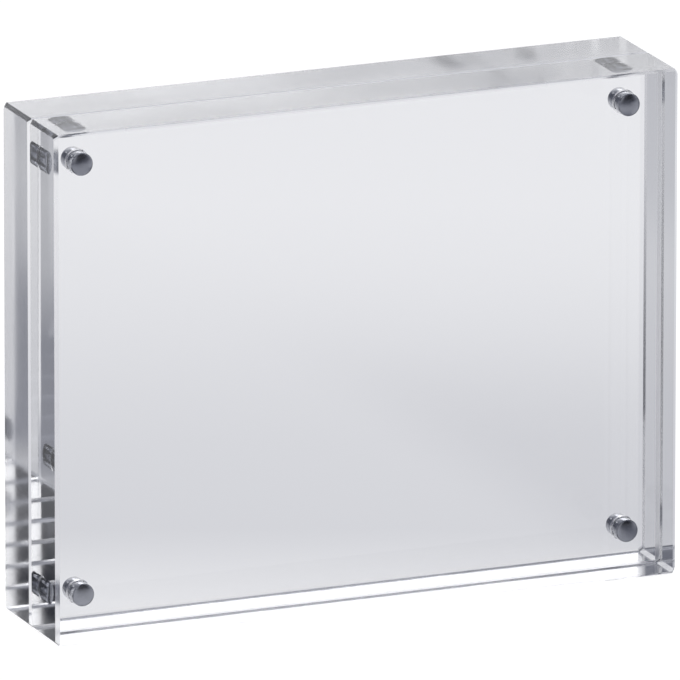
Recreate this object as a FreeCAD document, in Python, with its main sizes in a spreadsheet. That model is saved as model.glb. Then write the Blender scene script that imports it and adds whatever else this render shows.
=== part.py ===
import FreeCAD, Part
import Sketcher
import os

# Acrylic block frame, in millimetres.
# Two equal slabs of clear cast acrylic stand face to face, and a photograph is held between them.
# Disc magnets sit in blind bores near the four corners of both mating faces and pull the slabs together.
# X runs along the frame, Y from the front to the rear, Z up.
# The origin is on the surface that the frame stands on, under the middle of the joint between the slabs.

DRIVING_SIZES = {
    # the frame as a whole
    "frame_width": 115.0,
    "frame_height": 90.0,
    # each slab, and the polished bevel on all of its edges
    "front_thickness": 12.0,
    "rear_thickness": 12.0,
    "edge_bevel": 0.4,
    # the disc magnets, and how far their axes lie from the slab's ends and from its top and bottom
    "magnet_diameter": 4.0,
    "magnet_length": 4.0,
    "magnet_rim_bevel": 0.2,
    "magnet_end_inset": 7.0,
    "magnet_top_inset": 7.0,
    # the bores, whose gaps the glue fills
    "bore_side_gap": 0.05,
    "bore_floor_gap": 0.05,
    "bore_mouth_bevel": 0.15,
}

# The bore mouths are countersunk at 45 degrees, which is a cone of 90
MOUTH_ANGLE = 90.0

# The sizes that several features share, written in the sheet's names
AXIS_X = "(sizes.frame_width / 2 - sizes.magnet_end_inset)"
AXIS_LOW = "sizes.magnet_top_inset"
AXIS_HIGH = "(sizes.frame_height - sizes.magnet_top_inset)"
BORE_DIAMETER = "sizes.magnet_diameter + 2 * sizes.bore_side_gap"
BORE_DEPTH = "sizes.magnet_length + sizes.bore_floor_gap"
MOUTH_DIAMETER = BORE_DIAMETER + " + 2 * sizes.bore_mouth_bevel"

# The magnets' places, seen from the front: the side along X, and the height
CORNERS = {
    "top_left": (-1, AXIS_HIGH),
    "top_right": (1, AXIS_HIGH),
    "bottom_left": (-1, AXIS_LOW),
    "bottom_right": (1, AXIS_LOW),
}


def write_sheet(doc):
    """The spreadsheet, with one named cell for each driving size."""
    sheet = doc.addObject("Spreadsheet::Sheet", "sizes")
    for row, (name, value) in enumerate(DRIVING_SIZES.items(), start=1):
        sheet.set(f"A{row}", name)
        sheet.set(f"B{row}", str(value))
        sheet.setAlias(f"B{row}", name)
    doc.recompute()
    return sheet


def value_of(sheet, expression):
    """What an expression in the sheet's names comes to now."""
    return sheet.evalExpression(expression)


def new_body(doc, label):
    """An empty body that becomes one piece."""
    body = doc.addObject("PartDesign::Body", label)
    body.Label = label
    return body


def sketch_on_joint(body, name):
    """An empty sketch on the plane of the joint, seen from the front: X to the right and Z up."""
    sketch = body.newObject("Sketcher::SketchObject", name)
    plane = next(p for p in body.Origin.OriginFeatures if p.Role == "XZ_Plane")
    sketch.AttachmentSupport = [(plane, "")]
    sketch.MapMode = "FlatFace"
    return sketch


def dimension(sketch, sheet, name, kind, places, expression):
    """One dimension of a sketch, bound to the sheet."""
    size = value_of(sheet, expression)
    index = sketch.addConstraint(Sketcher.Constraint(kind, *places, size))
    sketch.renameConstraint(index, name)
    sketch.setExpression(f"Constraints.{name}", expression)


def draw_slab_outline(sketch, sheet):
    """The slab's rectangle, standing on the X axis with its middle over the origin."""
    half = value_of(sheet, "sizes.frame_width / 2")
    top = value_of(sheet, "sizes.frame_height")
    corners = [(-half, 0), (half, 0), (half, top), (-half, top)]
    points = [FreeCAD.Vector(x, z, 0) for x, z in corners]
    count = len(points)
    for side in range(count):
        sketch.addGeometry(Part.LineSegment(points[side], points[(side + 1) % count]), False)
    bottom, right, upper, left = range(count)
    for side in range(count):
        sketch.addConstraint(Sketcher.Constraint("Coincident", side, 2, (side + 1) % count, 1))
    for side in (bottom, upper):
        sketch.addConstraint(Sketcher.Constraint("Horizontal", side))
    for side in (right, left):
        sketch.addConstraint(Sketcher.Constraint("Vertical", side))
    # the bottom's two ends lie alike on both sides of the origin
    sketch.addConstraint(Sketcher.Constraint("Symmetric", bottom, 1, bottom, 2, -1, 1))
    dimension(sketch, sheet, "width", "DistanceX", (bottom, 1, bottom, 2), "sizes.frame_width")
    dimension(sketch, sheet, "height", "DistanceY", (right, 1, right, 2), "sizes.frame_height")


def draw_bore_mouths(sketch, sheet):
    """One circle for each bore, on the axis of its magnet."""
    radius = value_of(sheet, BORE_DIAMETER) / 2
    for index, (corner, (side, height)) in enumerate(CORNERS.items()):
        centre = FreeCAD.Vector(side * value_of(sheet, AXIS_X), value_of(sheet, height), 0)
        sketch.addGeometry(Part.Circle(centre, FreeCAD.Vector(0, 0, 1), radius), False)
        # measured from the origin, which is the sketch's point (-1, 1), so that every distance is positive
        across = (-1, 1, index, 3) if side > 0 else (index, 3, -1, 1)
        dimension(sketch, sheet, f"{corner}_x", "DistanceX", across, AXIS_X)
        dimension(sketch, sheet, f"{corner}_z", "DistanceY", (-1, 1, index, 3), height)
        dimension(sketch, sheet, f"{corner}_bore", "Diameter", (index,), BORE_DIAMETER)


def make_slab(doc, sheet, label, thickness, towards_rear):
    """A bevelled slab of acrylic with four blind bores in its mating face, which lies in the joint."""
    body = new_body(doc, label)

    outline = sketch_on_joint(body, f"{label}_outline")
    draw_slab_outline(outline, sheet)
    block = body.newObject("PartDesign::Pad", f"{label}_blank")
    block.Profile = outline
    block.setExpression("Length", thickness)
    block.Reversed = towards_rear
    doc.recompute()

    bevels = body.newObject("PartDesign::Chamfer", f"{label}_bevels")
    bevels.Base = (block, ["Face1"])
    bevels.UseAllEdges = True
    bevels.setExpression("Size", "sizes.edge_bevel")
    doc.recompute()

    mouths = sketch_on_joint(body, f"{label}_bore_mouths")
    draw_bore_mouths(mouths, sheet)
    doc.recompute()
    bores = body.newObject("PartDesign::Hole", f"{label}_bores")
    bores.Profile = mouths
    doc.recompute()
    bores.Threaded = False
    bores.DepthType = "Dimension"
    bores.DrillPoint = "Flat"
    bores.HoleCutType = "Countersink"
    bores.HoleCutCustomValues = True
    bores.HoleCutCountersinkAngle = MOUTH_ANGLE
    bores.setExpression("Diameter", BORE_DIAMETER)
    bores.setExpression("Depth", BORE_DEPTH)
    bores.setExpression("HoleCutDiameter", MOUTH_DIAMETER)
    bores.Reversed = not towards_rear
    doc.recompute()
    if bores.Shape.Volume >= bevels.Shape.Volume:
        raise RuntimeError(f"{label}: the bores cut nothing")
    return body


def make_magnet(doc, sheet, label, side, height, towards_rear):
    """A disc magnet with bevelled rims, its end flush with the mating face of its slab."""
    body = new_body(doc, label)

    end = sketch_on_joint(body, f"{label}_end")
    radius = value_of(sheet, "sizes.magnet_diameter / 2")
    end.addGeometry(Part.Circle(FreeCAD.Vector(0, 0, 0), FreeCAD.Vector(0, 0, 1), radius), False)
    end.addConstraint(Sketcher.Constraint("Coincident", 0, 3, -1, 1))
    dimension(end, sheet, "across", "Diameter", (0,), "sizes.magnet_diameter")
    disc = body.newObject("PartDesign::Pad", f"{label}_disc")
    disc.Profile = end
    disc.setExpression("Length", "sizes.magnet_length")
    disc.Reversed = towards_rear
    doc.recompute()

    rims = body.newObject("PartDesign::Chamfer", f"{label}_rims")
    rims.Base = (disc, ["Face1"])
    rims.UseAllEdges = True
    rims.setExpression("Size", "sizes.magnet_rim_bevel")
    body.setExpression("Placement.Base.x", f"{side} * {AXIS_X}")
    body.setExpression("Placement.Base.z", height)
    doc.recompute()
    return body


def check(doc, pieces):
    """Stops if a feature failed or a piece isn't one valid solid, and prints each piece's volume."""
    for item in doc.Objects:
        if "Invalid" in item.State or "Error" in item.State:
            raise RuntimeError(f"{item.Name}: {item.State}")
    for piece in pieces:
        shape = piece.Shape
        if shape.isNull() or not shape.isValid() or len(shape.Solids) != 1:
            raise RuntimeError(f"{piece.Label} is not one valid solid")
        print(f"{piece.Label}: {shape.Volume:.1f} cubic mm")


def main():
    doc = FreeCAD.newDocument("acrylic_block_frame")
    sheet = write_sheet(doc)
    pieces = []
    for slab, towards_rear in (("front", False), ("rear", True)):
        pieces.append(make_slab(doc, sheet, f"{slab}_block", f"sizes.{slab}_thickness", towards_rear))
        for corner, (side, height) in CORNERS.items():
            label = f"{slab}_magnet_{corner}"
            pieces.append(make_magnet(doc, sheet, label, side, height, towards_rear))
    doc.recompute()
    check(doc, pieces)
    os.makedirs("parts", exist_ok=True)
    for piece in pieces:
        piece.Shape.exportStep(f"parts/{piece.Label}.step")


main()
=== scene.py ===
import math

import bmesh
import bpy
from mathutils import Matrix, Vector


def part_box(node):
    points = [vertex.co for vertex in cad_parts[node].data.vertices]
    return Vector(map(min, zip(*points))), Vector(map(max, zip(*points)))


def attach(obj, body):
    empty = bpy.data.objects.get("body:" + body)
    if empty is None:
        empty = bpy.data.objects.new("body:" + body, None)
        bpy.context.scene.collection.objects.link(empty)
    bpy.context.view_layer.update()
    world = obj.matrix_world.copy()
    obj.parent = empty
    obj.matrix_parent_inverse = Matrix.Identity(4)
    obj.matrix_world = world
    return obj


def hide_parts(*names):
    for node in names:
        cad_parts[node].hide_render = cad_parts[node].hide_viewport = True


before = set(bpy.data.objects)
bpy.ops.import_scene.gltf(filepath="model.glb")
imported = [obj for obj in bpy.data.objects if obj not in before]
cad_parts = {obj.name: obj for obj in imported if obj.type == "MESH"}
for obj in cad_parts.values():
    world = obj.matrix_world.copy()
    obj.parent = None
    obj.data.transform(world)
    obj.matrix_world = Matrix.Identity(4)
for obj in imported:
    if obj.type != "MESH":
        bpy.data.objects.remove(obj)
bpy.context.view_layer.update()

# Acrylic block frame, in metres, dressed over its CAD pieces

MM = 0.001

# The slabs: flat bevels round their ends, and narrower ones along the frame and on the mitres between
# the end bevels, which polishing has rounded
LONG_BEVEL = 0.4 * MM
LONG_BEVEL_STEPS = 2
END_BEVEL = 0.6 * MM
END_BEVEL_STEPS = 1
ROUND_PROFILE = 0.5
# the film of air between the mating faces
AIR_FILM = 0.04 * MM

# The acrylic: how much haze is left on the sawn and polished ends, by slab, and on the top,
# and on the bevels round the upper and left sides of each slab's front face
ACRYLIC_IOR = 1.49
END_HAZE = {"front": 0.03, "rear": 0.09}
TOP_HAZE = 0.15
BEVEL_HAZE = {"front": 0.35, "rear": 0.1}
# the haze is uneven, in patches: the pattern's scale and detail, and the share of the haze that it gives
PATCH_SCALE = 60.0
PATCH_DETAIL = 3.0
PATCH_RANGE = (0.3, 0.7)
PATCH_SHARES = (0.7, 1.2)
# the faces that are hazed are told by the way they face: where each kind starts and where it is certain
END_FACING = (0.6, 0.9)
TOP_FACING = (0.1, 0.35)
# a front bevel faces the front more than an edge does, and less than the front face does
PAST_EDGE_FACING = (-0.3, -0.36)
SHORT_OF_FRONT_FACING = (-0.98, -0.94)
UP_LEFT_FACING = (0.2, 0.35)

# The bores: clear glue wets each magnet all round, by a hair, and is part of the slab
GLUE_HAIR = 0.003 * MM
MOUTH_BEVEL = 0.2 * MM
CUTTER_OVERRUN = 0.5 * MM

# The magnets: rounded rims and slightly crowned ends, as plating leaves them
RIM_RADIUS = 0.2 * MM
RIM_STEPS = 5
CROWN = 0.12 * MM
CROWN_STEPS = 8
MAGNET_SIDES = 96
# their nickel: two tones and two roughnesses that its grain mixes
NICKEL_DARK = (0.3, 0.31, 0.34, 1)
NICKEL_PALE = (0.38, 0.39, 0.43, 1)
NICKEL_ROUGHNESS = (0.05, 0.13)
GRAIN_SCALE = 900.0
GRAIN_DETAIL = 4.0

# Points closer together than this are one
SAME_POINT = 0.001 * MM
# Faces whose normals have more than this along X are the ends
END_FACE = 0.9
# Edges that turn by more than this stay sharp
SLAB_SHARP_TURN = math.radians(6)
MAGNET_SHARP_TURN = math.radians(20)

CORNERS = ("top_left", "top_right", "bottom_left", "bottom_right")
# Which way each slab lies from the joint, along Y
SIDES = {"front": -1, "rear": 1}

# The camera: where it aims, how far off it stands, and how it is turned
CAMERA_AIM = Vector((-0.25 * MM, 0.07 * MM, 44.89 * MM))
CAMERA_DISTANCE = 3.249
CAMERA_TURN = math.radians(22.726)
CAMERA_DIP = math.radians(15.807)
CAMERA_ROLL = math.radians(0.047)
# its lens and sensor, which Blender takes in millimetres
CAMERA_LENS = 1005.5
CAMERA_SENSOR = 36.0
# light zigzags through the slabs, and this many bounces follow it
LIGHT_BOUNCES = 16

# The studio, whose directions are taken from the camera's line: behind the frame, and to its right
BEHIND = Vector((math.sin(CAMERA_TURN), math.cos(CAMERA_TURN), 0))
RIGHTWARD = Vector((math.cos(CAMERA_TURN), -math.sin(CAMERA_TURN), 0))
# its light is faintly cool: the share of red and of blue in a bright tone, and how both change in a dim one
BRIGHT_RED = 0.995
BRIGHT_BLUE = 1.03
DIM_RED_LOSS = 0.06
DIM_BLUE_GAIN = 0.3
# the wall round it: tone by bearing from the camera's line, in degrees, with a dark gap on the left
# and two dark upright cards in front, which give the glass its dark edges
WALL_BEARINGS = (
    (-180, 0.25), (-152, 0.6), (-146, 0.1), (-126, 0.1), (-118, 0.7), (-85, 0.75), (-66, 0.4), (-58, 0.14),
    (-46, 0.12), (-38, 0.14), (-30, 0.5), (-22, 0.9), (-10, 1.0), (100, 1.0), (115, 0.6), (125, 0.1),
    (131, 0.02), (140, 0.02), (147, 0.06), (154, 0.75), (165, 0.6), (180, 0.25),
)
# the ceiling above it, in degrees above the horizon,
# and its tone by how far behind the frame it lies, as a cosine
CEILING_START = 22
CEILING_FULL = 38
CEILING_TONES = ((-1.0, 0.2), (-0.4, 0.25), (0.0, 0.34), (0.4, 0.45), (0.8, 0.5), (1.0, 0.6))
# two lamps in it: bearing and height in degrees, the cosines where each starts and is full, and its tone.
# The broad one lights the magnets from above, and the small one the slanting edges at the right
LAMPS = (
    {"bearing": -2, "height": 31, "edge": (0.97, 0.99), "tone": 2.4},
    {"bearing": -39.8, "height": 21.8, "edge": (0.996, 0.9985), "tone": 1.1},
)

# The floor, a pale disc: to the camera it is white with a little matt grey, which takes the shadow
FLOOR_RADIUS = 4.0
FLOOR_SIDES = 64
FLOOR_DROP = 0.05 * MM
FLOOR_WHITE = 0.95
FLOOR_MATT = 0.25
# to the glass and the metal it has a slight gloss, and glows with painted light and shade by distance behind
# the frame, in metres: painted light that falls off towards the front, and a painted shadow just behind the
# frame
FLOOR_IOR = 1.45
FLOOR_GLOSS_ROUGHNESS = 0.05
FLOOR_SPAN = 1.0
FLOOR_PAINTED_LIGHT_AND_SHADE = (
    (-1.0, 0.1), (-0.42, 0.14), (-0.34, 0.3), (-0.25, 0.52), (-0.17, 0.63), (-0.09, 0.66), (-0.02, 0.8),
    (0.0, 0.83), (0.02, 0.75), (0.045, 0.64), (0.1, 0.68), (0.14, 0.73), (0.2, 0.82), (0.26, 0.89),
    (0.6, 1.0),
)
# painted shade makes it dimmer on the left
PAINTED_SHADE_LEFT_TONE = 0.68
PAINTED_SHADE_LEFT_START = 0.08
PAINTED_SHADE_LEFT_FULL = 0.13
# a painted shadow, a dark patch, lies on it to the left of the frame, and darkens the fine upright lines in
# the glass:
# where it starts and where it is full on each side
PAINTED_SHADOW_TONE = 0.05
PAINTED_SHADOW_LEFT = (-0.28, -0.08)
PAINTED_SHADOW_RIGHT = (-0.06, -0.064)
PAINTED_SHADOW_FRONT = (-0.15, -0.09)
PAINTED_SHADOW_BACK = (0.07, 0.02)
# a band of painted shade starts beside the frame's right end and runs to the right and the front, turned by
# this angle:
# its tones by distance along it, where it starts and is full, and its half width and soft edges
PAINTED_SHADE_BAND_TURN = math.radians(44.6)
PAINTED_SHADE_BAND_WAY = math.cos(PAINTED_SHADE_BAND_TURN) * RIGHTWARD - math.sin(PAINTED_SHADE_BAND_TURN) * BEHIND
PAINTED_SHADE_BAND_ACROSS = math.sin(PAINTED_SHADE_BAND_TURN) * RIGHTWARD + math.cos(PAINTED_SHADE_BAND_TURN) * BEHIND
PAINTED_SHADE_BAND_TONES = ((0.0, 0.29), (0.12, 0.28), (0.17, 0.6), (0.22, 0.7), (0.35, 0.45), (0.5, 0.22), (1.0, 0.22))
PAINTED_SHADE_BAND_START = 0.01
PAINTED_SHADE_BAND_FULL = 0.045
PAINTED_SHADE_BAND_HALF_WIDTH = 0.055
PAINTED_SHADE_BAND_EDGE = 0.03
# where it starts and is full along the frame, so that hardly any of it lies in front of the slabs
PAINTED_SHADE_BAND_LEFT = (0.04, 0.066)


def shader_node(nodes, kind, inputs=None, **settings):
    """A node with its settings, whose inputs are given as values or as other nodes' outputs."""
    made = nodes.new(kind)
    for name, value in settings.items():
        setattr(made, name, value)
    for name, value in (inputs or {}).items():
        socket = made.inputs[name]
        if isinstance(value, bpy.types.NodeSocket):
            nodes.id_data.links.new(value, socket)
        else:
            socket.default_value = value
    return made


def calculate(nodes, operation, *values):
    """What a sum on numbers and other nodes' outputs comes to."""
    made = shader_node(nodes, "ShaderNodeMath", dict(enumerate(values)), operation=operation)
    return made.outputs["Value"]


def product(nodes, shares):
    """Several shares multiplied together."""
    total = shares[0]
    for share in shares[1:]:
        total = calculate(nodes, "MULTIPLY", total, share)
    return total


def distance_along(nodes, place, way):
    """How far a place lies along a direction."""
    made = shader_node(nodes, "ShaderNodeVectorMath", {0: place, 1: way}, operation="DOT_PRODUCT")
    return made.outputs["Value"]


def rescale(nodes, value, old_range, new_range=(0.0, 1.0), **settings):
    """A value carried over from one range to another, and kept within it."""
    inputs = {
        "Value": value,
        "From Min": old_range[0],
        "From Max": old_range[1],
        "To Min": new_range[0],
        "To Max": new_range[1],
    }
    return shader_node(nodes, "ShaderNodeMapRange", inputs, **settings).outputs["Result"]


def soft_step(nodes, value, start, full):
    """A share that rises smoothly from 0 where the value is at its start to 1 where it is full."""
    return rescale(nodes, value, (start, full), interpolation_type="SMOOTHSTEP")


def mix_colours(nodes, first, second, share):
    """Two colours mixed: the first where the share is 0, and the second where it is 1."""
    # the node's inputs 6 and 7 and its output 2 are the ones for colours
    made = shader_node(nodes, "ShaderNodeMix", {0: share, 6: first, 7: second}, data_type="RGBA")
    return made.outputs[2]


def studio_colour(tone):
    """A tone as the studio gives it: faintly cool where it is bright, bluer where it is dim."""
    dimness = (1 - min(tone, 1)) ** 2
    red = tone * (BRIGHT_RED - DIM_RED_LOSS * dimness)
    blue = tone * (BRIGHT_BLUE + DIM_BLUE_GAIN * dimness)
    return (red, tone, blue, 1)


def tone_ramp(nodes, value, low, high, stops):
    """A ramp of the studio's tones over a value from low to high, from stops of a value and a tone."""
    ramp = shader_node(nodes, "ShaderNodeValToRGB", {"Fac": rescale(nodes, value, (low, high))})
    elements = ramp.color_ramp.elements
    while len(elements) < len(stops):
        # every new stop starts in the middle, and is moved to its place below
        elements.new(0.5)
    for element, (place, tone) in zip(elements, stops):
        element.position = (place - low) / (high - low)
        element.color = studio_colour(tone)
    return ramp.outputs["Color"]


def new_material(name):
    """An empty material, ready for nodes."""
    material = bpy.data.materials.new(name)
    material.use_nodes = True
    nodes = material.node_tree.nodes
    nodes.clear()
    return material, nodes


def front_bevel(nodes, facing):
    """1 on the bevels round the upper and left sides of a slab's front face, and 0 elsewhere."""
    up_left = calculate(nodes, "SUBTRACT", facing["Z"], facing["X"])
    shares = (
        soft_step(nodes, facing["Y"], *PAST_EDGE_FACING),
        soft_step(nodes, facing["Y"], *SHORT_OF_FRONT_FACING),
        soft_step(nodes, up_left, *UP_LEFT_FACING),
    )
    return product(nodes, shares)


def polishing_haze(nodes, side):
    """How rough each place on a slab is: on its ends, its top and its front bevels, in patches."""
    coordinates = shader_node(nodes, "ShaderNodeTexCoord").outputs
    facing = shader_node(nodes, "ShaderNodeSeparateXYZ", {"Vector": coordinates["Normal"]}).outputs
    end = soft_step(nodes, calculate(nodes, "ABSOLUTE", facing["X"]), *END_FACING)
    top = soft_step(nodes, facing["Z"], *TOP_FACING)
    end_haze = product(nodes, (end, END_HAZE[side]))
    edge_haze = calculate(nodes, "MULTIPLY_ADD", top, TOP_HAZE, end_haze)
    bevel_haze = product(nodes, (front_bevel(nodes, facing), BEVEL_HAZE[side]))
    haze = calculate(nodes, "MAXIMUM", edge_haze, bevel_haze)
    patches = shader_node(
        nodes,
        "ShaderNodeTexNoise",
        {"Vector": coordinates["Object"], "Scale": PATCH_SCALE, "Detail": PATCH_DETAIL},
    )
    return product(nodes, (haze, rescale(nodes, patches.outputs["Fac"], PATCH_RANGE, PATCH_SHARES)))


def clear_acrylic(side):
    """Cast acrylic: clear faces, and sawn edges with the uneven haze that their polishing has left."""
    material, nodes = new_material(f"{side}_clear_acrylic")
    acrylic = shader_node(
        nodes,
        "ShaderNodeBsdfPrincipled",
        {
            "Base Color": (1, 1, 1, 1),
            "Transmission Weight": 1.0,
            "IOR": ACRYLIC_IOR,
            "Roughness": polishing_haze(nodes, side),
        },
    )
    shader_node(nodes, "ShaderNodeOutputMaterial", {"Surface": acrylic.outputs["BSDF"]})
    return material


def nickel_plate():
    """Nickel plating on the magnets: satin, with a fine grain and slight changes of tone."""
    material, nodes = new_material("nickel_plate")
    place = shader_node(nodes, "ShaderNodeTexCoord").outputs["Object"]
    grain = shader_node(
        nodes, "ShaderNodeTexNoise", {"Vector": place, "Scale": GRAIN_SCALE, "Detail": GRAIN_DETAIL}
    )
    nickel = shader_node(
        nodes,
        "ShaderNodeBsdfPrincipled",
        {
            "Base Color": mix_colours(nodes, NICKEL_DARK, NICKEL_PALE, grain.outputs["Fac"]),
            "Metallic": 1.0,
            "Roughness": rescale(nodes, grain.outputs["Fac"], (0.0, 1.0), NICKEL_ROUGHNESS),
        },
    )
    shader_node(nodes, "ShaderNodeOutputMaterial", {"Surface": nickel.outputs["BSDF"]})
    return material


def spun_profile(profile, centre, sides):
    """A bmesh of a profile turned about a line along Y through centre: (radius, y) from axis to axis."""
    bm = bmesh.new()
    points = [bm.verts.new((centre.x + radius, y, centre.z)) for radius, y in profile]
    edges = [bm.edges.new(pair) for pair in zip(points, points[1:])]
    bmesh.ops.spin(
        bm,
        geom=points + edges,
        cent=centre,
        axis=(0, 1, 0),
        angle=2 * math.pi,
        steps=sides,
        use_merge=True,
    )
    bmesh.ops.remove_doubles(bm, verts=bm.verts, dist=SAME_POINT)
    bmesh.ops.recalc_face_normals(bm, faces=bm.faces)
    return bm


def new_piece(bm, name):
    """An object at the origin with the bmesh as its mesh."""
    mesh = bpy.data.meshes.new(name)
    bm.to_mesh(mesh)
    bm.free()
    piece = bpy.data.objects.new(name, mesh)
    bpy.context.scene.collection.objects.link(piece)
    return piece


def finish_piece(piece, material, sharp_turn):
    """Smooth shading that stays sharp at the real edges, and the piece's material."""
    mesh = piece.data
    mesh.shade_smooth()
    mesh.set_sharp_from_angle(angle=sharp_turn)
    mesh.materials.clear()
    mesh.materials.append(material)


def magnet_end(radius):
    """A magnet's end from its axis outwards: how far out, and how far below the crown's top."""
    flat = radius - RIM_RADIUS
    end = []
    for step in range(CROWN_STEPS):
        reach = flat * step / CROWN_STEPS
        end.append((reach, CROWN * (reach / flat) ** 2))
    for step in range(RIM_STEPS + 1):
        turn = math.pi / 2 * step / RIM_STEPS
        end.append((flat + RIM_RADIUS * math.sin(turn), CROWN + RIM_RADIUS * (1 - math.cos(turn))))
    return end


def bore_cutter(side, corner):
    """What one magnet and the mouth of its bore leave open in a slab and its glue."""
    low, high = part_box(f"{side}_magnet_{corner}")
    away = SIDES[side]
    wall = (high.x - low.x) / 2 - GLUE_HAIR
    depth = high.y - low.y - GLUE_HAIR
    face = AIR_FILM / 2
    sunk_end = [(reach, away * (depth - sunk)) for reach, sunk in magnet_end(wall)]
    mouth = [
        (wall, away * (face + MOUTH_BEVEL)),
        (wall + MOUTH_BEVEL + CUTTER_OVERRUN, away * (face - CUTTER_OVERRUN)),
        (0, away * (face - CUTTER_OVERRUN)),
    ]
    bm = spun_profile(sunk_end + mouth, (low + high) / 2, MAGNET_SIDES)
    return new_piece(bm, f"{side}_cutter_{corner}")


def bevel_edges(bm, edges, width, steps):
    """A bevel on some of the slab's edges."""
    bmesh.ops.bevel(
        bm,
        geom=list(edges),
        offset=width,
        offset_type="OFFSET",
        affect="EDGES",
        segments=steps,
        profile=ROUND_PROFILE,
        material=-1,
    )


def runs_lengthwise(edge):
    """Whether an edge runs along the frame, straight or slanting."""
    start, end = edge.verts
    return abs(end.co.x - start.co.x) > SAME_POINT


def bevelled_slab(side):
    """The slab before drilling, with its mating face half an air film off the joint."""
    low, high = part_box(f"{side}_block")
    if SIDES[side] < 0:
        high.y -= AIR_FILM / 2
    else:
        low.y += AIR_FILM / 2
    size = high - low
    bm = bmesh.new()
    place = Matrix.Translation((low + high) / 2) @ Matrix.Diagonal((*size, 1))
    bmesh.ops.create_cube(bm, size=1.0, matrix=place)
    end_faces = [face for face in bm.faces if abs(face.normal.x) > END_FACE]
    bevel_edges(bm, {edge for face in end_faces for edge in face.edges}, END_BEVEL, END_BEVEL_STEPS)
    # the edges along the frame, with the mitres that the end bevels have added to them
    long_edges = [edge for edge in bm.edges if runs_lengthwise(edge)]
    bevel_edges(bm, long_edges, LONG_BEVEL, LONG_BEVEL_STEPS)
    return new_piece(bm, f"{side}_acrylic_slab")


def acrylic_slab(side, material):
    """A clear slab with four blind bores, standing for the CAD block."""
    slab = bevelled_slab(side)
    cutters = [bore_cutter(side, corner) for corner in CORNERS]
    for cutter in cutters:
        cut = slab.modifiers.new(cutter.name, "BOOLEAN")
        cut.operation = "DIFFERENCE"
        cut.solver = "EXACT"
        cut.object = cutter
    drilled = bpy.data.meshes.new_from_object(slab.evaluated_get(bpy.context.evaluated_depsgraph_get()))
    slab.modifiers.clear()
    slab.data = drilled
    for cutter in cutters:
        bpy.data.objects.remove(cutter)
    finish_piece(slab, material, SLAB_SHARP_TURN)
    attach(slab, side)
    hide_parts(f"{side}_block")


def plated_magnet(side, corner, material):
    """A disc magnet, standing for the CAD one: crowned end, rounded rim, side, and the same again."""
    node = f"{side}_magnet_{corner}"
    low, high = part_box(node)
    end = magnet_end((high.x - low.x) / 2)
    near = [(reach, low.y + sunk) for reach, sunk in end]
    far = [(reach, high.y - sunk) for reach, sunk in reversed(end)]
    bm = spun_profile(near + far, (low + high) / 2, MAGNET_SIDES)
    magnet = new_piece(bm, f"{side}_plated_magnet_{corner}")
    finish_piece(magnet, material, MAGNET_SHARP_TURN)
    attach(magnet, side)
    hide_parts(node)


def painted_shadow_cover(nodes, place):
    """Where the painted shadow darkens the floor, with soft edges."""
    at = shader_node(nodes, "ShaderNodeSeparateXYZ", {"Vector": place}).outputs
    edges = [soft_step(nodes, at["X"], *edge) for edge in (PAINTED_SHADOW_LEFT, PAINTED_SHADOW_RIGHT)]
    edges += [soft_step(nodes, at["Y"], *edge) for edge in (PAINTED_SHADOW_FRONT, PAINTED_SHADOW_BACK)]
    return product(nodes, edges)


def painted_shade_band_cover(nodes, place, out):
    """Where the band of painted shade darkens the floor, with soft edges."""
    across = calculate(nodes, "ABSOLUTE", distance_along(nodes, place, PAINTED_SHADE_BAND_ACROSS))
    at = shader_node(nodes, "ShaderNodeSeparateXYZ", {"Vector": place}).outputs
    shares = (
        soft_step(nodes, out, PAINTED_SHADE_BAND_START, PAINTED_SHADE_BAND_FULL),
        soft_step(nodes, across, PAINTED_SHADE_BAND_HALF_WIDTH + PAINTED_SHADE_BAND_EDGE, PAINTED_SHADE_BAND_HALF_WIDTH),
        soft_step(nodes, at["X"], *PAINTED_SHADE_BAND_LEFT),
    )
    return product(nodes, shares)


def painted_floor_light(nodes):
    """The floor's painted light and shade: a pale sweep with painted shade on its left side, and a painted
    shadow and a band of painted shade on it.
    """
    place = shader_node(nodes, "ShaderNodeTexCoord").outputs["Object"]
    behind = distance_along(nodes, place, BEHIND)
    leftward = distance_along(nodes, place, -RIGHTWARD)
    out = distance_along(nodes, place, PAINTED_SHADE_BAND_WAY)
    painted_sweep = tone_ramp(nodes, behind, -FLOOR_SPAN, FLOOR_SPAN, FLOOR_PAINTED_LIGHT_AND_SHADE)
    painted_shade_band = tone_ramp(nodes, out, 0, FLOOR_SPAN, PAINTED_SHADE_BAND_TONES)
    painted_shade_left = soft_step(nodes, leftward, PAINTED_SHADE_LEFT_START, PAINTED_SHADE_LEFT_FULL)
    tone = mix_colours(nodes, painted_sweep, studio_colour(PAINTED_SHADE_LEFT_TONE), painted_shade_left)
    tone = mix_colours(nodes, tone, studio_colour(PAINTED_SHADOW_TONE), painted_shadow_cover(nodes, place))
    return mix_colours(nodes, tone, painted_shade_band, painted_shade_band_cover(nodes, place, out))


def glossy_painted_floor(nodes):
    """The floor as the glass and the metal see it: glowing with its painted light and shade, with a slight
    gloss.
    """
    # the floor glows with its painted light and shade, though it is no lamp
    painted_glow = shader_node(nodes, "ShaderNodeEmission", {"Color": painted_floor_light(nodes)})
    gloss = shader_node(nodes, "ShaderNodeBsdfGlossy", {"Roughness": FLOOR_GLOSS_ROUGHNESS})
    fresnel = shader_node(nodes, "ShaderNodeFresnel", {"IOR": FLOOR_IOR})
    surface = shader_node(
        nodes,
        "ShaderNodeMixShader",
        {0: fresnel.outputs["Fac"], 1: painted_glow.outputs["Emission"], 2: gloss.outputs["BSDF"]},
    )
    return surface.outputs["Shader"]


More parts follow.
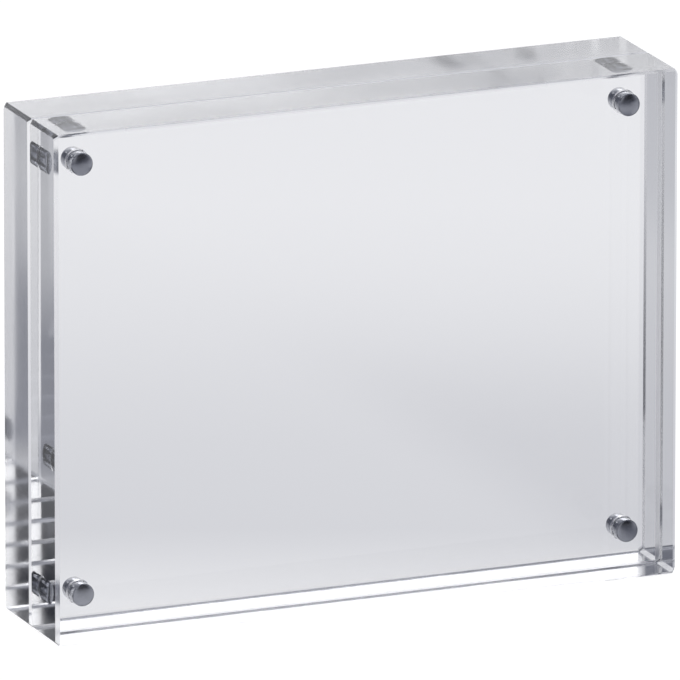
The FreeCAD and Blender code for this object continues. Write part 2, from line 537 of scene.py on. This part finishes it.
def white_paper(nodes):
    """The floor as the camera sees it: white, with some matt grey for the frame's faint shadow."""
    white = shader_node(nodes, "ShaderNodeEmission", {"Color": (1, 1, 1, 1), "Strength": FLOOR_WHITE})
    matt = shader_node(nodes, "ShaderNodeBsdfDiffuse", {"Color": (FLOOR_MATT, FLOOR_MATT, FLOOR_MATT, 1)})
    surface = shader_node(
        nodes, "ShaderNodeAddShader", {0: white.outputs["Emission"], 1: matt.outputs["BSDF"]}
    )
    return surface.outputs["Shader"]


def floor_paper():
    """The floor's material: white to the camera, and in the glass a glowing sweep of painted light and
    shade.
    """
    material, nodes = new_material("studio_floor")
    path = shader_node(nodes, "ShaderNodeLightPath")
    surface = shader_node(
        nodes,
        "ShaderNodeMixShader",
        {0: path.outputs["Is Camera Ray"], 1: glossy_painted_floor(nodes), 2: white_paper(nodes)},
    )
    shader_node(nodes, "ShaderNodeOutputMaterial", {"Surface": surface.outputs["Shader"]})
    return material


def studio_floor():
    """The floor, just under the frame."""
    bm = bmesh.new()
    bmesh.ops.create_circle(bm, cap_ends=True, segments=FLOOR_SIDES, radius=FLOOR_RADIUS)
    bmesh.ops.translate(bm, verts=bm.verts, vec=(0, 0, -FLOOR_DROP))
    floor = new_piece(bm, "studio_floor")
    floor.data.materials.append(floor_paper())


def lamp_way(lamp):
    """The direction in which a lamp lies."""
    bearing = math.radians(lamp["bearing"])
    height = math.radians(lamp["height"])
    level = math.cos(bearing) * BEHIND + math.sin(bearing) * RIGHTWARD
    return math.cos(height) * level + math.sin(height) * Vector((0, 0, 1))


def room_tones(nodes, way):
    """The room's tones: a wall that is bright in parts, a dim ceiling, and the lamps in it."""
    behind = distance_along(nodes, way, BEHIND)
    rightward = distance_along(nodes, way, RIGHTWARD)
    bearing = calculate(nodes, "DEGREES", calculate(nodes, "ARCTAN2", rightward, behind))
    rise = shader_node(nodes, "ShaderNodeSeparateXYZ", {"Vector": way}).outputs["Z"]
    height = calculate(nodes, "DEGREES", calculate(nodes, "ARCSINE", rise))
    wall = tone_ramp(nodes, bearing, -180, 180, WALL_BEARINGS)
    ceiling = tone_ramp(nodes, behind, -1, 1, CEILING_TONES)
    room = mix_colours(nodes, wall, ceiling, soft_step(nodes, height, CEILING_START, CEILING_FULL))
    for lamp in LAMPS:
        cover = soft_step(nodes, distance_along(nodes, way, lamp_way(lamp)), *lamp["edge"])
        room = mix_colours(nodes, room, studio_colour(lamp["tone"]), cover)
    return room


def studio_room():
    """The room, as the world: white to the camera, and to the glass and the metal its own tones."""
    world = bpy.data.worlds.new("studio_room")
    world.use_nodes = True
    nodes = world.node_tree.nodes
    nodes.clear()
    way = shader_node(nodes, "ShaderNodeTexCoord").outputs["Generated"]
    path = shader_node(nodes, "ShaderNodeLightPath")
    colour = mix_colours(nodes, room_tones(nodes, way), (1, 1, 1, 1), path.outputs["Is Camera Ray"])
    light = shader_node(nodes, "ShaderNodeBackground", {"Color": colour, "Strength": 1.0})
    shader_node(nodes, "ShaderNodeOutputWorld", {"Surface": light.outputs["Background"]})
    bpy.context.scene.world = world


def photo_camera():
    """The camera at the photograph's place."""
    data = bpy.data.cameras.new("photo_camera")
    data.sensor_width = CAMERA_SENSOR
    data.lens = CAMERA_LENS
    camera = bpy.data.objects.new("photo_camera", data)
    turn = Matrix.Rotation(-CAMERA_TURN, 4, "Z")
    dip = Matrix.Rotation(math.pi / 2 - CAMERA_DIP, 4, "X")
    roll = Matrix.Rotation(CAMERA_ROLL, 4, "Z")
    back = Matrix.Translation((0, 0, CAMERA_DISTANCE))
    camera.matrix_world = Matrix.Translation(CAMERA_AIM) @ turn @ dip @ roll @ back
    bpy.context.scene.collection.objects.link(camera)
    bpy.context.scene.camera = camera


def render_settings():
    """A plain view, and light followed far enough through the slabs."""
    scene = bpy.context.scene
    scene.view_settings.view_transform = "Standard"
    for kind in ("max_bounces", "glossy_bounces", "transmission_bounces"):
        setattr(scene.cycles, kind, LIGHT_BOUNCES)


def main():
    photo_camera()
    studio_room()
    studio_floor()
    nickel = nickel_plate()
    for side in SIDES:
        acrylic_slab(side, clear_acrylic(side))
        for corner in CORNERS:
            plated_magnet(side, corner, nickel)
    render_settings()


main()
